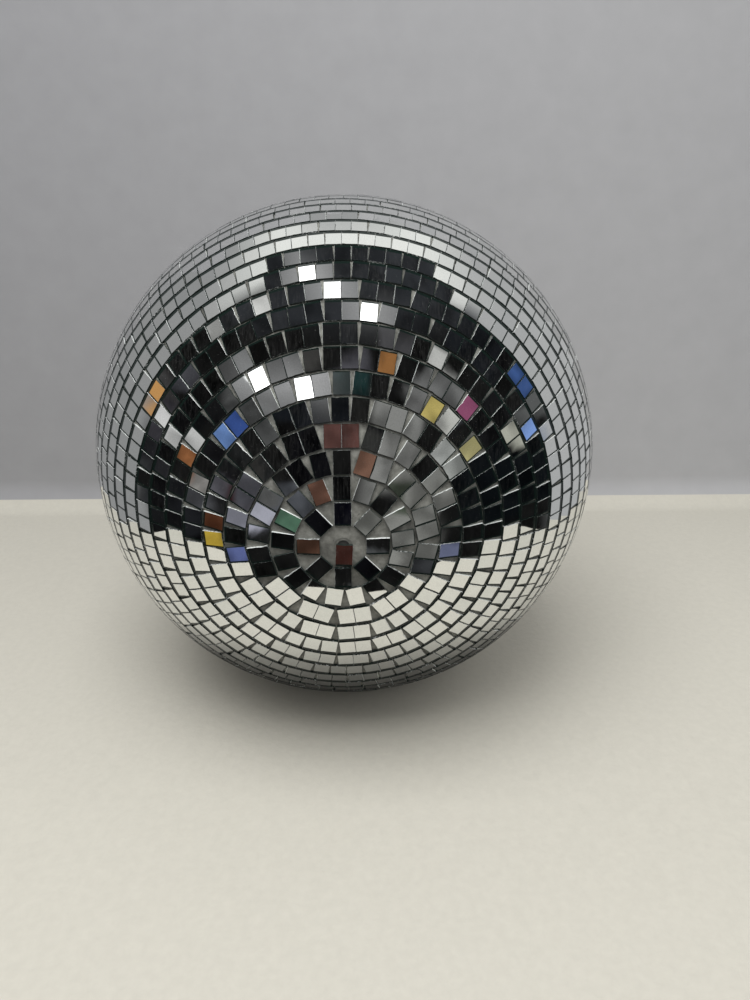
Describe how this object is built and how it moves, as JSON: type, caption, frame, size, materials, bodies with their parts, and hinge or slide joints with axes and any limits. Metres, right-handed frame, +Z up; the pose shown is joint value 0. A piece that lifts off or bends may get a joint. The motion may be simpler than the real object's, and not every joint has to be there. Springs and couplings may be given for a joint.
{
  "type": "mirror ball",
  "caption": "Hanging mirror ball: rows of flat mirror tiles on a hollow two-part core, turning on a swivel eye under a steel ring",
  "frame": {"origin": "where a hook bears inside the hanging ring, on the ball's spin axis", "axes": "+Z up along the spin axis with the ball hanging at rest, +Y through the swivel eye's hole"},
  "size_m": [0.3002, 0.3002, 0.3584],
  "materials": {
    "mirror": "silvered glass, cut edges",
    "core": "coated with silver-grey adhesive",
    "plug": "moulded",
    "block": "turned, unfinished",
    "zinc_steel": "zinc plated",
    "bush": "turned",
    "cap": "spun and plated",
    "cap_screw": "plated",
    "eye": "plated",
    "insert": "nylon"
  },
  "bodies": {
    "hanging_ring": {"hanging_ring": "eye"},
    "swivel": {"swivel_eye": "eye", "nut_washer": "zinc_steel", "lock_nut": "zinc_steel", "lock_nut_insert": "insert"},
    "ball": {"core_lower": "core", "core_upper": "core", "pole_plug": "plug", "hanger_block": "block", "backing_plate": "zinc_steel", "plate_screws": "zinc_steel", "lower_bush": "bush", "upper_bush": "bush", "thrust_washer": "zinc_steel", "hanger_cap": "cap", "cap_screws": "cap_screw", "safety_bracket": "zinc_steel", "mirror_row_01": "mirror", "mirror_row_02": "mirror", "mirror_row_03": "mirror", "mirror_row_04": "mirror", "mirror_row_05": "mirror", "mirror_row_06": "mirror", "mirror_row_07": "mirror", "mirror_row_08": "mirror", "mirror_row_09": "mirror", "mirror_row_10": "mirror", "mirror_row_11": "mirror", "mirror_row_12": "mirror", "mirror_row_13": "mirror", "mirror_row_14": "mirror", "mirror_row_15": "mirror", "mirror_row_16": "mirror", "mirror_row_17": "mirror", "mirror_row_18": "mirror", "mirror_row_19": "mirror", "mirror_row_20": "mirror", "mirror_row_21": "mirror", "mirror_row_22": "mirror", "mirror_row_23": "mirror", "mirror_row_24": "mirror", "mirror_row_25": "mirror", "mirror_row_26": "mirror", "mirror_row_27": "mirror", "mirror_row_28": "mirror", "mirror_row_29": "mirror", "mirror_row_30": "mirror", "mirror_row_31": "mirror", "mirror_row_32": "mirror", "mirror_row_33": "mirror", "mirror_row_34": "mirror", "mirror_row_35": "mirror", "mirror_row_36": "mirror", "mirror_row_37": "mirror", "pole_tile": "mirror"}
  },
  "joints": [
    {"name": "ring_swing", "type": "hinge", "parent": "hanging_ring", "child": "swivel", "pos_m": [0, 0, -0.03175], "axis": [0, 1, 0], "range_deg": [-75, 75]},
    {"name": "ball_spin", "type": "hinge", "parent": "swivel", "child": "ball", "pos_m": [0, 0, -0.2048], "axis": [0, 0, 1], "continuous": true}
  ]
}
